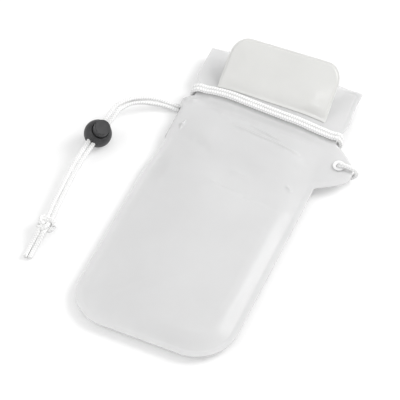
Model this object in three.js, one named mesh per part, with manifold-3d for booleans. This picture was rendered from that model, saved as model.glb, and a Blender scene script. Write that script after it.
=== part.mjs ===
// Waterproof phone pouch: two welded films with an ear and an eyelet at each side of the neck,
// a zip mouth, a hook-and-loop flap, and a cord with a spring lock that is wound round the neck.
// Millimetres, +Z up. The pouch lies on its back. Lengths along it, called v, run from its
// bottom edge towards the mouth, and the model's origin is under the belly at v = restCentre.
import * as THREE from "three";
import { mergeVertices } from "three/addons/utils/BufferGeometryUtils.js";
import Module from "manifold-3d";

const wasm = await Module();
wasm.setup();

// Driving dimensions of the bag
const pouchWidth = 107;
const pouchLength = 236.7;
const neckAndMouthLength = 86.7;
const cornerRadius = 27;
const filmThickness = 0.5;
const weldMargin = 3;
const backMargin = 6;
const clearance = 0.3;
const restCentre = 90;

// Heights above the surface it lies on
const bodyPlane = 5;
const neckPlane = 8;
const neckUnderside = 3.9;
const bellyRise = 5.5;
const neckRise = 2.5;
const mouthRise = 4.2;
const frontShoulder = 29;
const backShoulder = 12;

// Stations along the bag, from the neck's start or from the mouth
const neckStart = pouchLength - neckAndMouthLength;
const aboveNeck = (distance) => neckStart + distance;
const planeRiseStart = aboveNeck(-20);
const planeRiseEnd = aboveNeck(22);
const neckMiddle = aboveNeck(42);
const backRiseStart = aboveNeck(8);
const backRiseEnd = aboveNeck(27);
const cordStation = aboveNeck(44.5);
const zipFromMouth = 17.7;
const zipStation = pouchLength - zipFromMouth;

// Ears and eyelets, and how far the bag's sides are drawn in at the fold and at the cord
const earStart = aboveNeck(1);
const earTipLow = aboveNeck(16.5);
const earTipHigh = aboveNeck(18.5);
const earEnd = aboveNeck(40);
const earReach = 18.8;
const foldRadius = 1.3;
const foldDraw = 3;
const leftCordDraw = 5.5;
const rightCordDraw = 1.3;
const drawBand = 14;
const eyeletStation = aboveNeck(23.1);
const eyeletInset = 8.4;
const eyeletBore = 3.8;
const eyeletBarrel = 5;
const eyeletFlange = 7.8;
const eyeletFlangeThickness = 0.5;

// Zip tracks, flap and hook-and-loop patches
const zipHalfLength = 34;
const zipBaseWidth = 4.6;
const zipBaseThickness = 0.4;
const zipRibWidth = 1.2;
const zipRibHeight = 0.5;
const flapWidth = 77;
const flapCentre = 1.7;
const flapStart = aboveNeck(52.6);
const flapLength = 32.4;
const flapEnd = flapStart + flapLength;
const flapWeld = 2;
const flapWeldEnd = flapStart + flapWeld;
const flapCorner = 10.6;
const flapThickness = 1.7;
const flapBorder = 3.5;
const flapBorderThickness = 1;
const flapSlope = 0.64;
const flapTwist = 0.0012;
const flapFlattening = 0.75;
const patchThickness = 0.6;
const patchHalfWidth = 30;
const loopPatchStart = aboveNeck(0.5);
const loopPatchLength = 15.5;
const loopPatchEnd = loopPatchStart + loopPatchLength;
const hookPatchFromEnd = 4.5;
const hookPatchLength = 19;
const hookPatchEnd = flapEnd - hookPatchFromEnd;
const hookPatchStart = hookPatchEnd - hookPatchLength;

// Cord and cord lock
const cordDiameter = 3;
const lockDiameter = 18.4;
const lockTravel = 3.2;
const buttonDiameter = 10.6;
const buttonStandOut = 3.5;
const lockFloor = 2.8;
const buttonFoot = 1.5;
const springWire = 0.5;
const springTurns = 2.25;
const lockCentre = new THREE.Vector3(-92, aboveNeck(-15.3), lockDiameter / 2);
const lockButtonDirection = new THREE.Vector3(0.399, -0.185, 0.897).normalize();
const lockCordHeading = new THREE.Vector3(0.15, 0.98, 0.135);
const knotCentre = [-91.2, aboveNeck(-94), 6.4];
const knotRadius = 3.7;
const knotSeat = 4;

// What follows from them
const halfWidth = pouchWidth / 2;
const cordRadius = cordDiameter / 2;
const pairOffset = cordRadius + clearance / 2;
const eyeletX = halfWidth + eyeletInset;
const filmPair = 2 * filmThickness + clearance;
const eyeletReach = filmPair / 2 + clearance;
const eyeletOutside = eyeletReach + eyeletFlangeThickness;
const cordOpening = cordDiameter + 2 * clearance;
const lockSlotHeight = cordOpening + lockTravel;
const lockSlotWidth = 2 * (pairOffset + cordRadius + clearance);
const lockRadius = lockDiameter / 2;
const cordInLock = lockSlotHeight / 2 - cordOpening / 2;

const steps = (from, to, count) =>
  Array.from({ length: count + 1 }, (_, i) => from + ((to - from) * i) / count);

// From 0 to 1 between two places, level at both ends
function ease(value, from, to) {
  const t = Math.min(1, Math.max(0, (value - from) / (to - from)));
  return t * t * (3 - 2 * t);
}

const mix = (a, b, t) => a + (b - a) * t;

// A closed three.js geometry as a solid, and back again
function solid(geometry) {
  geometry.deleteAttribute("normal");
  geometry.deleteAttribute("uv");
  const merged = mergeVertices(geometry, 1e-4);
  const mesh = new wasm.Mesh({
    numProp: 3,
    vertProperties: new Float32Array(merged.attributes.position.array),
    triVerts: new Uint32Array(merged.index.array),
  });
  return new wasm.Manifold(mesh);
}

function geometryOf(body) {
  const mesh = body.getMesh();
  const geometry = new THREE.BufferGeometry();
  geometry.setAttribute("position", new THREE.BufferAttribute(mesh.vertProperties, 3));
  geometry.setIndex(new THREE.BufferAttribute(mesh.triVerts, 1));
  geometry.computeVertexNormals();
  return geometry;
}

// A closed sheet over a grid of x and v stations, between two height fields
function sheet(xs, vs, top, bottom) {
  const points = [];
  for (const field of [top, bottom]) {
    for (const v of vs) {
      for (const x of xs) points.push(x, v, field(x, v));
    }
  }
  const across = xs.length;
  const lower = across * vs.length;
  const at = (i, j) => j * across + i;
  const faces = [];
  const quad = (a, b, c, d) => faces.push(a, b, c, a, c, d);
  for (let j = 0; j + 1 < vs.length; j++) {
    for (let i = 0; i + 1 < across; i++) {
      quad(at(i, j), at(i + 1, j), at(i + 1, j + 1), at(i, j + 1));
      quad(lower + at(i, j), lower + at(i, j + 1), lower + at(i + 1, j + 1), lower + at(i + 1, j));
    }
  }
  const rim = [];
  for (let i = 0; i + 1 < across; i++) rim.push(at(i, 0));
  for (let j = 0; j + 1 < vs.length; j++) rim.push(at(across - 1, j));
  for (let i = across - 1; i > 0; i--) rim.push(at(i, vs.length - 1));
  for (let j = vs.length - 1; j > 0; j--) rim.push(at(0, j));
  rim.forEach((a, k) => {
    const b = rim[(k + 1) % rim.length];
    quad(lower + a, lower + b, b, a);
  });
  const geometry = new THREE.BufferGeometry();
  geometry.setAttribute("position", new THREE.Float32BufferAttribute(points, 3));
  geometry.setIndex(faces);
  return solid(geometry);
}

function prism(shape, low, high, curveSegments = 8) {
  const settings = { depth: high - low, bevelEnabled: false, curveSegments };
  return solid(new THREE.ExtrudeGeometry(shape, settings).translate(0, 0, low));
}

// The films' forms
const weldPlane = (v) => mix(bodyPlane, neckPlane, ease(v, planeRiseStart, planeRiseEnd));

// How far a place lies inside the film's edge, with the bottom's round corners
function insideEdge(x, v) {
  const overX = Math.abs(x) - (halfWidth - cornerRadius);
  const overV = cornerRadius - v;
  return overX > 0 && overV > 0
    ? cornerRadius - Math.hypot(overX, overV)
    : Math.min(halfWidth - Math.abs(x), v);
}

const swell = (x, v, margin, shoulder) => {
  const t = Math.min(1, Math.max(0, (insideEdge(x, v) - margin) / shoulder));
  return Math.sin((t * Math.PI) / 2) ** 2;
};
const frontSwell = (x, v) => swell(x, v, weldMargin, frontShoulder);

function frontRise(v) {
  const body = mix(bellyRise, neckRise, ease(v, neckStart, neckMiddle));
  return body + (mouthRise - neckRise) * ease(v, neckMiddle, pouchLength);
}

const frontInner = (x, v) => weldPlane(v) + clearance / 2 + frontRise(v) * frontSwell(x, v);
const frontTop = (x, v) => frontInner(x, v) + filmThickness;

// The loop patch presses into the back film by its own thickness
const dentBorder = 1;
const dentSlope = 5;

function patchDent(x, v) {
  const side = patchHalfWidth + dentBorder;
  const low = loopPatchStart - dentBorder;
  const beside = 1 - ease(Math.abs(x), side, side + dentSlope);
  return (patchThickness + clearance) * beside * ease(v, low - dentSlope, low);
}

// The back film lies over the left ear, which is turned under the neck, and over its eyelet
const foldLength = Math.PI * foldRadius;
const leftEarTip = -halfWidth + earReach - foldLength + foldDraw;
const leftEyeletX = -halfWidth + eyeletInset - foldLength + foldDraw;
const earDrape = 6;

function overEar(x, v) {
  const across = 1 - ease(x, leftEarTip + clearance, leftEarTip + backShoulder);
  const along = ease(v, earStart - earDrape, earStart) * (1 - ease(v, earEnd, earEnd + earDrape));
  return (weldPlane(v) - 2 * foldRadius + filmPair / 2 + clearance) * across * along;
}

function overEyelet(x, v) {
  const across = 1 - ease(x, leftEyeletX + earDrape, leftEyeletX + 2 * earDrape);
  const along = 1 - ease(Math.abs(v - eyeletStation), earDrape, 2 * earDrape);
  return (weldPlane(v) - 2 * foldRadius + eyeletOutside + clearance) * across * along;
}

function backUnder(x, v) {
  const edge = weldPlane(v) - clearance / 2 - filmThickness;
  const lowest = neckUnderside * ease(v, backRiseStart, backRiseEnd);
  const sagged = mix(edge, lowest, swell(x, v, backMargin, backShoulder));
  return Math.max(sagged, patchDent(x, v), overEar(x, v), overEyelet(x, v));
}
const backInner = (x, v) => backUnder(x, v) + filmThickness;

// One side of the outline from the ear's start to its end, rising and falling as a quarter sine
function earWidth(v) {
  const up = Math.min(1, Math.max(0, (v - earStart) / (earTipLow - earStart)));
  const down = Math.min(1, Math.max(0, (earEnd - v) / (earEnd - earTipHigh)));
  return halfWidth + earReach * Math.sin((Math.PI / 2) * up) * Math.sin((Math.PI / 2) * down);
}

const earStations = [...steps(earStart, earTipLow, 7), ...steps(earTipHigh, earEnd, 7)];

function filmOutline() {
  const shape = new THREE.Shape();
  shape.moveTo(-halfWidth + cornerRadius, 0);
  shape.lineTo(halfWidth - cornerRadius, 0);
  shape.absarc(halfWidth - cornerRadius, cornerRadius, cornerRadius, -Math.PI / 2, 0);
  for (const v of earStations) shape.lineTo(earWidth(v), v);
  shape.lineTo(halfWidth, pouchLength);
  shape.lineTo(-halfWidth, pouchLength);
  for (const v of [...earStations].reverse()) shape.lineTo(-earWidth(v), v);
  shape.absarc(-halfWidth + cornerRadius, cornerRadius, cornerRadius, Math.PI, Math.PI * 1.5);
  for (const side of [-1, 1]) {
    const hole = new THREE.Path();
    hole.absarc(side * eyeletX, eyeletStation, eyeletBarrel / 2 + clearance, 0, Math.PI * 2, true);
    shape.holes.push(hole);
  }
  return shape;
}

// Splits the faces that cross a place along x (axis 0) or v (axis 1), so that the sheet can bend there
function splitAcross(geometry, place, axis) {
  const p = Array.from(geometry.attributes.position.array);
  const index = geometry.index.array;
  const cuts = new Map();
  const past = (a) => p[3 * a + axis] - place;
  const beyond = (a) => (Math.abs(past(a)) < 1e-5 ? 0 : Math.sign(past(a)));
  const cut = (a, b) => {
    const key = `${Math.min(a, b)} ${Math.max(a, b)}`;
    if (!cuts.has(key)) {
      const t = past(a) / (past(a) - past(b));
      cuts.set(key, p.length / 3);
      for (let k = 0; k < 3; k++) p.push(mix(p[3 * a + k], p[3 * b + k], t));
    }
    return cuts.get(key);
  };
  const faces = [];
  for (let i = 0; i < index.length; i += 3) {
    let [a, b, c] = [index[i], index[i + 1], index[i + 2]];
    const sides = [a, b, c].map(beyond);
    if (!(sides.includes(1) && sides.includes(-1))) {
      faces.push(a, b, c);
      continue;
    }
    // The first corner is the one that is alone on its side, or the one on the line
    const isAlone = (side) => sides.indexOf(side) === sides.lastIndexOf(side);
    const first = sides.includes(0) ? sides.indexOf(0) : sides.findIndex(isAlone);
    for (let turn = 0; turn < first; turn++) [a, b, c] = [b, c, a];
    if (sides.includes(0)) {
      const m = cut(b, c);
      faces.push(a, b, m, a, m, c);
    } else {
      const m = cut(a, b);
      const n = cut(a, c);
      faces.push(a, m, n, m, b, c, m, c, n);
    }
  }
  const split = new THREE.BufferGeometry();
  split.setAttribute("position", new THREE.Float32BufferAttribute(p, 3));
  split.setIndex(faces);
  return split;
}

// The sides are drawn in where the cord is tied round the neck, and the left one along its fold too
const drawStations = [-9, -5.5, -2, 4, 9, 14].map((distance) => cordStation + distance);
const [drawLow, , drawFull, drawHigh, , drawEnd] = drawStations;

function drawnIn(x, v) {
  const band = ease(Math.abs(x), halfWidth - drawBand, halfWidth);
  const below = 1 - ease(v, drawHigh, drawEnd);
  const nearCord = ease(v, drawLow, drawFull) * below;
  const alongFold = foldDraw * ease(v, planeRiseStart - earDrape, neckStart) * below;
  const left = mix(alongFold, leftCordDraw, nearCord);
  return x < 0 ? left * band : -rightCordDraw * nearCord * band;
}

// The left ear is turned under, round a small roll at the bag's side
const foldStations = steps(-halfWidth - foldLength, -halfWidth, 5);

function foldUnder(flat) {
  const bent = foldStations.reduce((sheetSoFar, x) => splitAcross(sheetSoFar, x, 0), flat);
  const geometry = drawStations.reduce((sheetSoFar, v) => splitAcross(sheetSoFar, v, 1), bent);
  const p = geometry.attributes.position;
  for (let i = 0; i < p.count; i++) {
    const drawn = drawnIn(p.getX(i), p.getY(i));
    const past = Math.max(0, -halfWidth - p.getX(i));
    const plane = weldPlane(p.getY(i));
    const radius = foldRadius + p.getZ(i) - plane;
    const turn = Math.min(past, foldLength) / foldRadius;
    const beyondRoll = Math.max(0, past - foldLength);
    if (past > 0) {
      p.setX(i, -halfWidth - radius * Math.sin(turn) + beyondRoll);
      p.setZ(i, plane - foldRadius + radius * Math.cos(turn));
    }
    p.setX(i, p.getX(i) + drawn);
  }
  geometry.computeVertexNormals();
  return geometry;
}

const earEdge = halfWidth + earReach + 1;
const marginStations = [halfWidth - backMargin, halfWidth - weldMargin];
const bodyStations = [20.5, 26, patchHalfWidth, zipHalfLength, 39, 43, ...marginStations];
const filmXs = [
  -earEdge,
  -halfWidth,
  ...bodyStations.map((x) => -x).reverse(),
  0,
  ...bodyStations,
  halfWidth,
  earEdge,
];
const filmVs = [
  -1, weldMargin, backMargin, 10, 15, 22, 32,
  ...[-20, -12, -6.5, -0.5, 0.5, 7, 12, 16, 21, 27, 34, 42, 50, 60].map(aboveNeck),
  zipStation, zipStation + 9, pouchLength + 1,
];

function film(top, bottom) {
  const outline = prism(filmOutline(), -10, 30);
  return foldUnder(geometryOf(sheet(filmXs, filmVs, top, bottom).intersect(outline)));
}

const material = (color, roughness, opacity = 1) =>
  new THREE.MeshStandardMaterial({ color, roughness, metalness: 0, opacity, transparent: opacity < 1 });
const filmMaterial = material(0xdedfe1, 0.35, 0.8);
const flapMaterial = material(0xe5e5e2, 0.3);
const zipMaterial = material(0xcfd2d6, 0.4);
const patchMaterial = material(0xe9e9e6, 0.95);
const eyeletMaterial = material(0xeeeeec, 0.3);
const cordMaterial = material(0xf0f0ee, 0.85);
const lockMaterial = material(0x2e2f31, 0.45);
const springMaterial = new THREE.MeshStandardMaterial({ color: 0xb9bcc0, roughness: 0.3, metalness: 0.9 });

const pouch = new THREE.Group();
pouch.position.y = -restCentre;

function add(name, geometry, look, parent = pouch) {
  const mesh = new THREE.Mesh(geometry, look);
  mesh.name = name;
  parent.add(mesh);
  return mesh;
}

// The two films
add("front_panel", film(frontTop, frontInner), filmMaterial);
add("back_panel", film(backInner, backUnder), filmMaterial);

// A zip track: a base along the film's inner face, with raised rails on it
const zipXs = [-zipHalfLength, ...filmXs.filter((x) => Math.abs(x) < zipHalfLength), zipHalfLength];

function zipTrack(face, inward, rails) {
  const strip = (offset, width, from, to) => {
    const [near, far] = inward > 0 ? [from, to] : [to, from];
    const vs = [zipStation + offset - width / 2, zipStation + offset + width / 2];
    const surface = (depth) => (x, v) => face(x, v) + inward * (clearance + depth);
    return sheet(zipXs, vs, surface(far), surface(near));
  };
  let body = strip(0, zipBaseWidth, 0, zipBaseThickness);
  for (const offset of rails) body = body.add(strip(offset, zipRibWidth, 0, zipBaseThickness + zipRibHeight));
  return geometryOf(body);
}
add("zip_rib_track", zipTrack(frontInner, -1, [0]), zipMaterial);
add("zip_groove_track", zipTrack(backInner, 1, [-zipRibWidth, zipRibWidth]), zipMaterial);

// The flap: welded to the front film behind the cord, and rising clear of the mouth
const flapHalf = flapWidth / 2;

function flapUnder(x, v) {
  const lift = (flapSlope + flapTwist * (x - flapCentre)) * Math.max(0, v - flapWeldEnd);
  const crown = 1 - flapFlattening * ease(v, flapWeldEnd, flapEnd);
  const base = weldPlane(v) + clearance / 2 + filmThickness + clearance;
  return base + lift + crown * frontRise(v) * frontSwell(x, v);
}

function flapTop(x, v) {
  const fromSide = flapHalf - Math.abs(x - flapCentre);
  const fromEnd = flapEnd - v;
  const overCorner = fromSide < flapCorner && fromEnd < flapCorner;
  const edge = overCorner
    ? flapCorner - Math.hypot(flapCorner - fromSide, flapCorner - fromEnd)
    : Math.min(fromSide, fromEnd);
  const body = ease(edge, flapBorder * 0.5, flapBorder);
  return flapUnder(x, v) + mix(flapBorderThickness, flapThickness, body);
}

function flapOutline() {
  const shape = new THREE.Shape();
  const [left, right] = [flapCentre - flapHalf, flapCentre + flapHalf];
  shape.moveTo(left, flapStart);
  shape.lineTo(right, flapStart);
  shape.absarc(right - flapCorner, flapEnd - flapCorner, flapCorner, 0, Math.PI / 2);
  shape.absarc(left + flapCorner, flapEnd - flapCorner, flapCorner, Math.PI / 2, Math.PI);
  return shape;
}
const flapSides = [10, 20, 28, flapHalf - flapBorder, flapHalf - flapBorder / 2, flapHalf + 1];
const flapXs = [...flapSides.map((x) => -x).reverse(), 0, ...flapSides].map((x) => flapCentre + x);
const flapVs = [
  flapStart - 1, flapWeldEnd, ...steps(flapWeldEnd, flapEnd - flapBorder, 6).slice(1),
  flapEnd - flapBorder / 2, flapEnd + 1,
];
const flapBody = sheet(flapXs, flapVs, flapTop, flapUnder).intersect(prism(flapOutline(), -10, 60, 6));
add("closure_flap", geometryOf(flapBody), flapMaterial);

// Hook patch under the flap, and the loop patch that it closes on, on the pouch's back
const within = (list, low, high) => [low, ...list.filter((value) => value > low && value < high), high];
const hookTop = (x, v) => flapUnder(x, v) - clearance * Math.hypot(1, flapSlope);
const hookPatch = sheet(
  within(flapXs, flapCentre - patchHalfWidth, flapCentre + patchHalfWidth),
  within(flapVs, hookPatchStart, hookPatchEnd),
  hookTop,
  (x, v) => hookTop(x, v) - patchThickness,
);
add("hook_patch", geometryOf(hookPatch), patchMaterial);
const loopTop = (x, v) => backUnder(x, v) - clearance;
const loopPatch = sheet(
  within(filmXs, -patchHalfWidth, patchHalfWidth),
  within(filmVs, loopPatchStart, loopPatchEnd),
  loopTop,
  (x, v) => loopTop(x, v) - patchThickness,
);
add("loop_patch", geometryOf(loopPatch), patchMaterial);

// Eyelets: a barrel through both films with a flange on each side
function eyelet() {
  const [reach, outside] = [eyeletReach, eyeletOutside];
  const bore = eyeletBore / 2;
  const barrel = eyeletBarrel / 2;
  const flange = eyeletFlange / 2;
  const profile = [
    [bore, -outside], [flange, -outside], [flange, -reach], [barrel, -reach],
    [barrel, reach], [flange, reach], [flange, outside], [bore, outside], [bore, -outside],
  ].map(([r, h]) => new THREE.Vector2(r, h));
  return geometryOf(solid(new THREE.LatheGeometry(profile, 20))).rotateX(Math.PI / 2);
}
const rightEyelet = add("right_eyelet", eyelet(), eyeletMaterial);
rightEyelet.position.set(eyeletX, eyeletStation, weldPlane(eyeletStation));
const leftEyelet = add("left_eyelet", eyelet(), eyeletMaterial);
leftEyelet.position.set(leftEyeletX, eyeletStation, weldPlane(eyeletStation) - 2 * foldRadius);

// The lock's own frame: X across the two cords, Y along them towards the pouch, Z out of the button
const lockAcross = new THREE.Vector3().crossVectors(lockCordHeading, lockButtonDirection).normalize();
const lockAlong = new THREE.Vector3().crossVectors(lockButtonDirection, lockAcross);
const lock = new THREE.Group();
lock.position.copy(lockCentre);
lock.quaternion.setFromRotationMatrix(
  new THREE.Matrix4().makeBasis(lockAcross, lockAlong, lockButtonDirection),
);
pouch.add(lock);

const cutBlock = (width, depth, low, high) =>
  solid(new THREE.BoxGeometry(width, depth, high - low).translate(0, 0, (low + high) / 2));
const turned = (radius, low, high, segments = 28) =>
  solid(new THREE.CylinderGeometry(radius, radius, high - low, segments)
    .rotateX(Math.PI / 2)
    .translate(0, 0, (low + high) / 2));

const boreRadius = buttonDiameter / 2 + clearance;
const lockRim = Math.sqrt(lockRadius ** 2 - (boreRadius + 0.6) ** 2);
const boreFloor = -lockRadius + lockFloor;
const buttonSlotLow = -lockSlotHeight / 2 + lockTravel;
const buttonTop = lockRadius + buttonStandOut;
const footLow = buttonSlotLow - buttonFoot;

function lockBody() {
  const ball = solid(new THREE.SphereGeometry(lockRadius, 26, 18));
  return geometryOf(
    ball
      .subtract(turned(boreRadius, boreFloor, lockRadius + 1))
      .subtract(cutBlock(lockDiameter, lockDiameter, lockRim, lockRadius + 1))
      .subtract(cutBlock(lockSlotWidth, lockDiameter, -lockSlotHeight / 2, lockSlotHeight / 2)),
  );
}

function lockButton() {
  const radius = buttonDiameter / 2;
  const rounding = 1;
  const profile = [
    [0, footLow], [radius, footLow], [radius, buttonTop - rounding],
    [radius - rounding * 0.3, buttonTop - rounding * 0.3], [radius - rounding, buttonTop], [0, buttonTop],
  ].map(([r, h]) => new THREE.Vector2(r, h));
  const plunger = solid(new THREE.LatheGeometry(profile, 28).rotateX(Math.PI / 2));
  const slot = cutBlock(lockSlotWidth, lockDiameter, buttonSlotLow, buttonSlotLow + lockSlotHeight);
  return geometryOf(plunger.subtract(slot));
}

function circle(radius, sides) {
  const points = steps(0, Math.PI * 2, sides)
    .slice(0, sides)
    .map((a) => new THREE.Vector2(radius * Math.cos(a), radius * Math.sin(a)));
  return new THREE.Shape(points);
}

function tube(points, radius, count, sides = 8) {
  const path = new THREE.CatmullRomCurve3(points, false, "centripetal");
  return new THREE.ExtrudeGeometry(circle(radius, sides), { steps: count, extrudePath: path });
}

function lockSpring() {
  const radius = buttonDiameter / 2 - 1.5;
  const low = boreFloor + clearance + springWire / 2;
  const high = footLow - clearance - springWire / 2;
  const points = steps(0, 1, 30).map((t) => {
    const angle = t * springTurns * Math.PI * 2;
    return new THREE.Vector3(radius * Math.cos(angle), radius * Math.sin(angle), mix(low, high, t));
  });
  return tube(points, springWire / 2, 36, 6);
}
add("lock_body", lockBody(), lockMaterial, lock);
add("lock_button", lockButton(), lockMaterial, lock);
add("lock_spring", lockSpring(), springMaterial, lock);

// A pair of cords follows one middle line. A point of it is x, distance above the neck's start and
// height, with the direction from the middle line to the first cord. The second lies on the other side.
const onTable = cordRadius + clearance;
const overCord = onTable + cordDiameter + clearance;
const placed = ([x, distance, z]) => new THREE.Vector3(x, aboveNeck(distance), z);
const beside = (points, side) => {
  const middle = points.map(placed);
  return points.map(([, , , sideX, sideV, sideZ = 0], i) => {
    const before = middle[Math.max(0, i - 1)];
    const heading = middle[Math.min(points.length - 1, i + 1)].clone().sub(before).normalize();
    const offset = new THREE.Vector3(sideX, sideV, sideZ).projectOnPlane(heading);
    return middle[i].clone().add(offset.setLength(side * pairOffset));
  });
};
const cordLift = clearance + 0.35;
const onFront = (x, distance) => frontTop(x, aboveNeck(distance)) + cordLift + cordRadius;

// Under the neck from left to right, and up round its right side
const underNeck = [
  [-54, 31.2, onTable, 0, 1],
  [-39, 31.2, onTable, 0, 1],
  [-20, 31, onTable, 0, 1],
  [0, 31, onTable, 0, 1],
  [20, 31, onTable, 0, 1],
  [38, 31.2, onTable, 0, 1],
  [44, 32.6, onTable, -0.25, 1],
  [48.8, 36.2, onTable, -0.6, 0.8],
  [51.8, 40, onTable, -0.7, 0.7],
];
const rightSide = [
  [53.8, 42.6, 3, -0.5, 0.85],
  [54.8, 43.9, 5.2, -0.35, 0.93],
  [54.9, 44.3, 8.2, -0.2, 0.98],
  [53.2, 44.2, 10.7, -0.1, 1],
];

// Over the front to the left, and down round the left side
const overFront = [
  [49, 44, onFront(49, 44), 0.05, 1],
  [42, 44.1, onFront(42, 44.1), 0.05, 1],
  [34, 44.2, onFront(34, 44.2), 0.05, 1],
  [24, 44.6, onFront(24, 44.6), 0.05, 1],
  [12, 45, onFront(12, 45), 0.05, 1],
  [0, 45.7, onFront(0, 45.7), 0.05, 1],
  [-12, 46.4, onFront(-12, 46.4), 0.05, 1],
  [-24, 47.2, onFront(-24, 47.2), 0.03, 1],
  [-34, 47.4, onFront(-34, 47.4), 0, 1],
  [-42, 47, onFront(-42, 47), -0.08, 1],
];
const leftSide = [
  [-47.4, 46.2, 11.2, -0.15, 1],
  [-50.7, 45.5, 8.7, -0.15, 1],
  [-50.7, 45, 5, -0.1, 1],
  [-48, 44.4, 2.5, -0.1, 1],
];

// Under the neck again, over the first pair, to the right ear
const underAgain = [
  [-43, 43.4, onTable, -0.08, 1],
  [-32, 42.3, onTable, 0, 1],
  [-10, 42.2, onTable, 0, 1],
  [10, 42.3, onTable, 0, 1],
  [28, 41.9, onTable, 0.05, 1],
  [36, 41.2, onTable, 0.1, 1],
  [41.4, 39.9, 3, 0.25, 1],
  [46, 37.6, overCord, 0.5, 0.87],
  [50.1, 34.8, overCord, 0.6, 0.8],
  [53.8, 31.5, overCord, 0.7, 0.72],
];

// The end of the loop: up through the right eyelet, over the ear's edge and back under it
const throughEyelet = [
  [58.2, 28.5, 4.2],
  [60.8, 25.1, 3.6],
  [61.9, 23.2, 4.6],
  [61.9, 23.1, 6.4],
  [61.9, 23.1, 9.7],
  [62.8, 23.1, 11.4],
  [65, 23.2, 12],
  [68.6, 23.3, 11.4],
  [72, 23.3, 10.5],
  [73.8, 23.3, 8.4],
  [73.7, 22.9, 5.6],
  [71.6, 21.9, 3.2],
  [67.8, 20.5, 2],
  [63, 20.4, onTable],
  [58.6, 23, 2.6],
  [55.6, 26.5, 4.3],
].map(placed);

const neckRoute = [...underNeck, ...rightSide, ...overFront, ...leftSide, ...underAgain];
const neckLoop = [...beside(neckRoute, 1), ...throughEyelet, ...beside(neckRoute, -1).reverse()];
add("neck_cord", tube(neckLoop, cordRadius, 180), cordMaterial);

// The two free strands from the pouch's left edge through the lock to the knot, and their tails
const inLock = (along) => {
  const place = lockCentre
    .clone()
    .addScaledVector(lockAlong, along)
    .addScaledVector(lockButtonDirection, cordInLock);
  return [place.x, place.y - neckStart, place.z, -lockAcross.x, -lockAcross.y, -lockAcross.z];
};
const [knotX, knotV, knotZ] = [knotCentre[0], knotCentre[1] - neckStart, knotCentre[2]];
const knotFace = knotSeat + clearance;
const freeRoute = [
  [-54.4, 31.3, onTable, 0, 1],
  [-59.5, 31, 2.1, 0, 1],
  [-65.5, 29.8, 3.8, 0.2, 1, 0.1],
  [-72, 26.6, 6.6, 0.5, 1, 0.3],
  [-78.2, 22, 9.6, 0.4, 0.9, 0.6],
  [-83.3, 16.2, 11.9, 0.1, 0.7, 0.8],
  [-86.6, 9.8, 13.2, -0.5, 0.3, 0.7],
  inLock(22),
  inLock(14),
  inLock(6),
  inLock(-3),
  inLock(-9.5),
  [-93.6, -35, 8.6, -0.9, 0, 0.35],
  [-94, -45, 7.6, -0.95, 0, 0.25],
  [-93.8, -56, 6.9, -1, 0, 0.1],
  [-93, -68, 6.5, -1, 0, 0],
  [-92.2, -79, 6.4, -1, 0, 0],
  [knotX, knotV + 9.5, knotZ, -1, 0, 0],
  [knotX, knotV + knotFace, knotZ, -1, 0, 0],
];
const tailRoute = [
  [knotX, knotV - knotFace, knotZ, -1, 0, 0],
  [knotX, knotV - 7.4, knotZ - 0.1, -1, 0, 0],
  [-91.8, -107, 3.6, -1, 0, 0],
  [-92.3, -112.5, onTable, -1, 0.05, 0],
  [-91.8, -119.6, onTable, -1, 0.1, 0],
];
[1, -1].forEach((side, i) => {
  add(`free_strand_${i + 1}`, tube(beside(freeRoute, side), cordRadius, 32), cordMaterial);
  add(`cord_tail_${i + 1}`, tube(beside(tailRoute, side), cordRadius, 9), cordMaterial);
});

// The knot: one thick overhand loop with its middle filled by the cord's other turns
function knot() {
  const loop = solid(new THREE.TorusKnotGeometry(knotRadius, cordRadius, 48, 8, 2, 3));
  let body = loop.add(solid(new THREE.SphereGeometry(knotRadius, 14, 10).scale(1, 1, 0.85)));
  const opening = cordRadius + clearance;
  for (const side of [-1, 1]) {
    for (const end of [-1, 1]) {
      const channel = new THREE.CylinderGeometry(opening, opening, 2 * knotRadius, 10);
      body = body.subtract(solid(channel.translate(side * pairOffset, end * (knotSeat + knotRadius), 0)));
    }
  }
  return geometryOf(body);
}
add("cord_knot", knot(), cordMaterial).position.set(...knotCentre);

export default pouch;
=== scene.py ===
# Waterproof phone pouch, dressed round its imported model: frosted films, a padded flap, a braided
# cord wound round the neck, and a cord lock and a knot on the cord's free end.
# Lengths are millimetres until a mesh is made. v runs along the pouch from its bottom edge.
import math
import bpy
import numpy as np
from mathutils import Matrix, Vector, noise
from mathutils.geometry import delaunay_2d_cdt


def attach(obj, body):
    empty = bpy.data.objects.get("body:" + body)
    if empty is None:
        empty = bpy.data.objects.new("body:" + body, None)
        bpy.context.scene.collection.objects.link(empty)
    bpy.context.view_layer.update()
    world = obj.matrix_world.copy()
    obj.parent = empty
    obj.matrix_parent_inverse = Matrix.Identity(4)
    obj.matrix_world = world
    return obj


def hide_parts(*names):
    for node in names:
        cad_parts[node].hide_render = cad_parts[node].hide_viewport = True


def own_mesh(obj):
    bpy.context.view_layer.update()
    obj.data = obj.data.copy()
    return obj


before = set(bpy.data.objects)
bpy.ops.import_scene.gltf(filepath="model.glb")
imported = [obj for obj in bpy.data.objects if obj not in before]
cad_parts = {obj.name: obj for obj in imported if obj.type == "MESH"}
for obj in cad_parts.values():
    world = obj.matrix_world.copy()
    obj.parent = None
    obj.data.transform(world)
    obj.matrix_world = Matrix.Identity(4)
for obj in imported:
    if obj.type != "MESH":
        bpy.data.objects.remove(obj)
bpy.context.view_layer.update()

# Sizes of the bag
MM = 0.001
REST_CENTRE = 90
HALF_WIDTH = 53.5
LENGTH = 236.7
CORNER = 27
FILM = 0.5
WELD_MARGIN = 3
BACK_MARGIN = 6
WELD_GAP = 0.06
CLEARANCE = 0.3

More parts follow.
